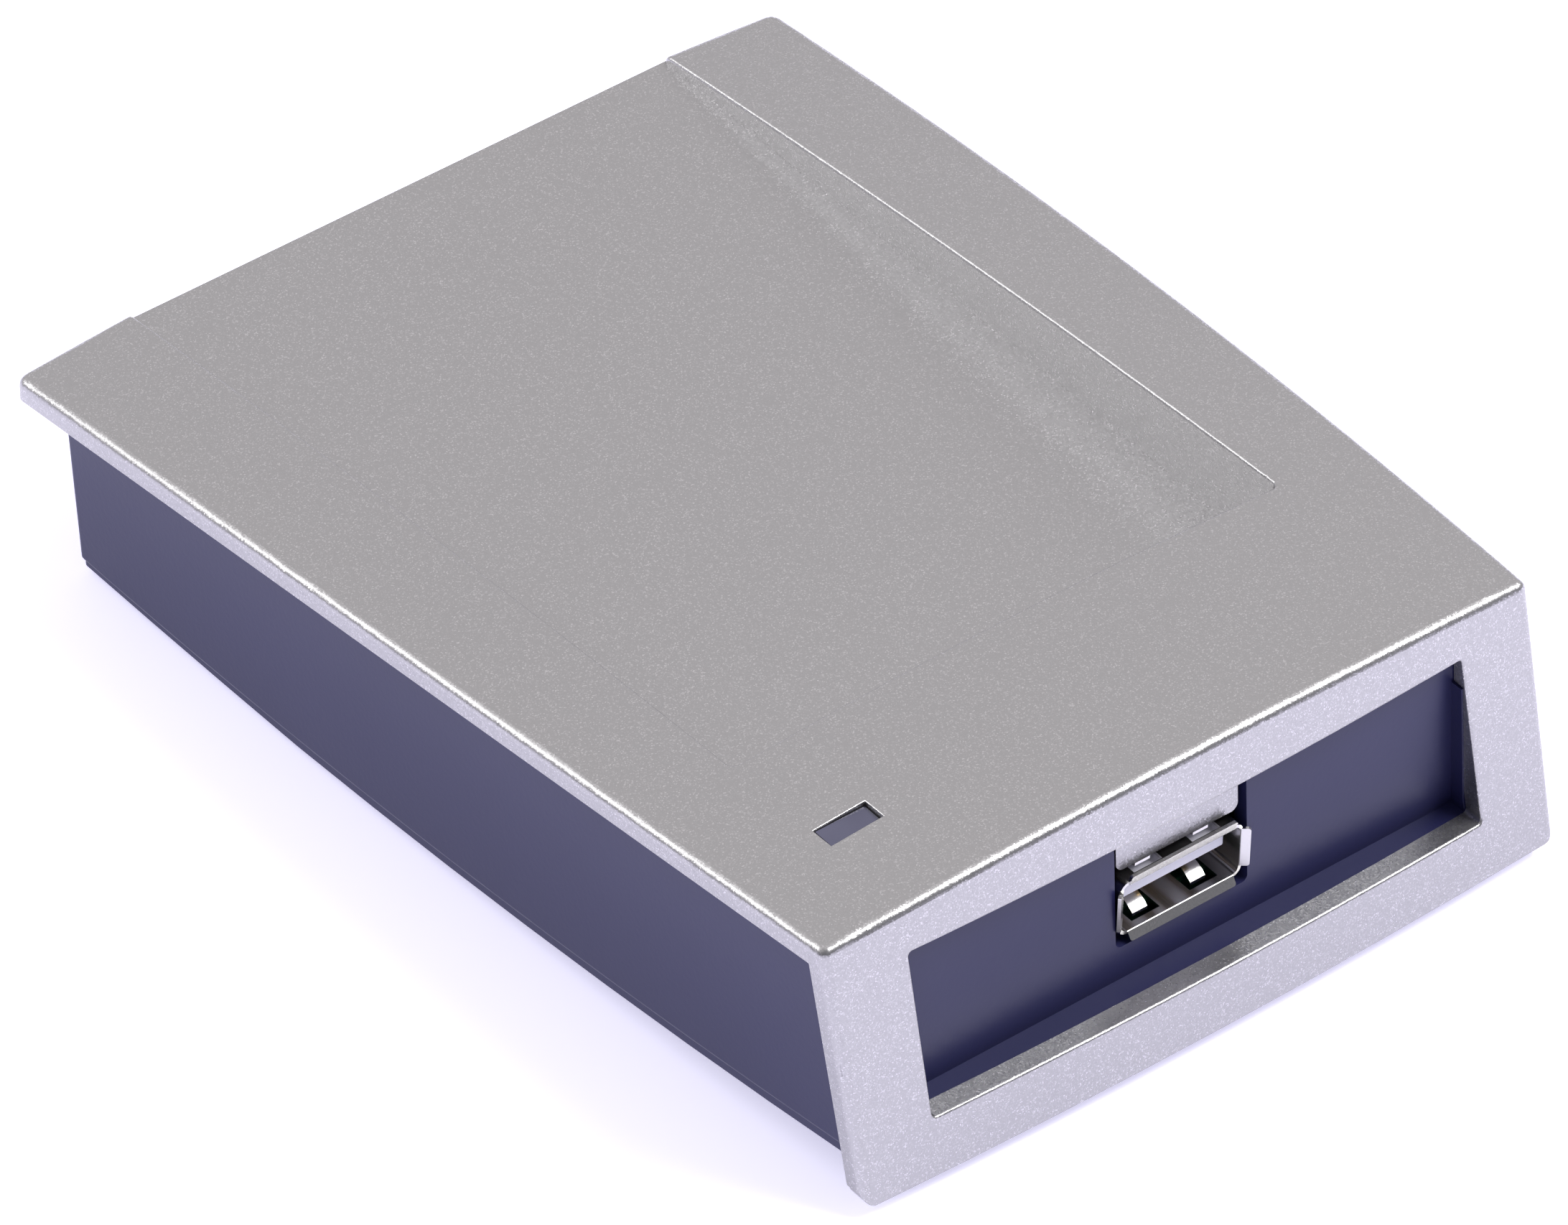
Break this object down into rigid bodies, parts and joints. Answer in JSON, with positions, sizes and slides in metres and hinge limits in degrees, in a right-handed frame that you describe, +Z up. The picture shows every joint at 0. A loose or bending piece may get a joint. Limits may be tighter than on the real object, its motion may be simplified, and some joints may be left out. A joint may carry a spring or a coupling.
{
  "type": "desktop card reader",
  "caption": "Low desktop proximity card reader: silver wedge cover with an open card tray, dark slate casing, recessed USB socket in a wide front window.",
  "frame": {"origin": "on the table, under the middle of the body's overall box", "axes": "+X across the reader, +Y towards the open end of the card tray (away from the socket), +Z up"},
  "size_m": [0.0826, 0.1124, 0.0272],
  "materials": {
    "silver_paint": "matte metallic silver paint on a plastic moulding",
    "slate_plastic": "satin dark slate-blue moulded plastic",
    "lens_plastic": "smoked translucent plastic",
    "led_resin": "diffused epoxy",
    "board_green": "green solder mask on glass fibre",
    "nickel_steel": "nickel-plated sheet steel",
    "white_moulding": "white heat-proof plastic",
    "gold_contact": "gold-plated contact strip",
    "chip_black": "black moulded epoxy",
    "crystal_can": "plated steel can",
    "capacitor_sleeve": "bare aluminium can",
    "film_case": "coloured dipped case",
    "ferrite": "dark ferrite",
    "fuse_green": "green coated fuse",
    "ceramic_tan": "tan ceramic body with tinned ends",
    "resistor_black": "black glazed film with tinned ends",
    "coil_enamel": "enamelled copper wire, bundled",
    "foam_pad": "double-sided foam tape",
    "zinc_screw": "zinc-plated steel",
    "foot_rubber": "soft dark rubber",
    "label_film": "blank silver label film"
  },
  "bodies": {
    "root": {"top_cover": "silver_paint", "bottom_casing": "slate_plastic", "led_lens": "lens_plastic", "status_led": "led_resin", "circuit_board": "board_green", "usb_shell": "nickel_steel", "usb_insulator": "white_moulding", "usb_contacts": "gold_contact", "microcontroller": "chip_black", "reader_chip": "chip_black", "crystal": "crystal_can", "voltage_regulator": "chip_black", "buzzer": "chip_black", "electrolytic_capacitor": "capacitor_sleeve", "tuning_capacitor": "film_case", "supply_inductor": "ferrite", "resettable_fuse": "fuse_green", "chip_capacitors": "ceramic_tan", "chip_resistors": "resistor_black", "aerial_coil": "coil_enamel", "coil_leads": "coil_enamel", "coil_pads": "foam_pad", "case_screws": "zinc_screw", "board_screws": "zinc_screw", "rubber_feet": "foot_rubber", "rating_label": "label_film"}
  },
  "joints": []
}
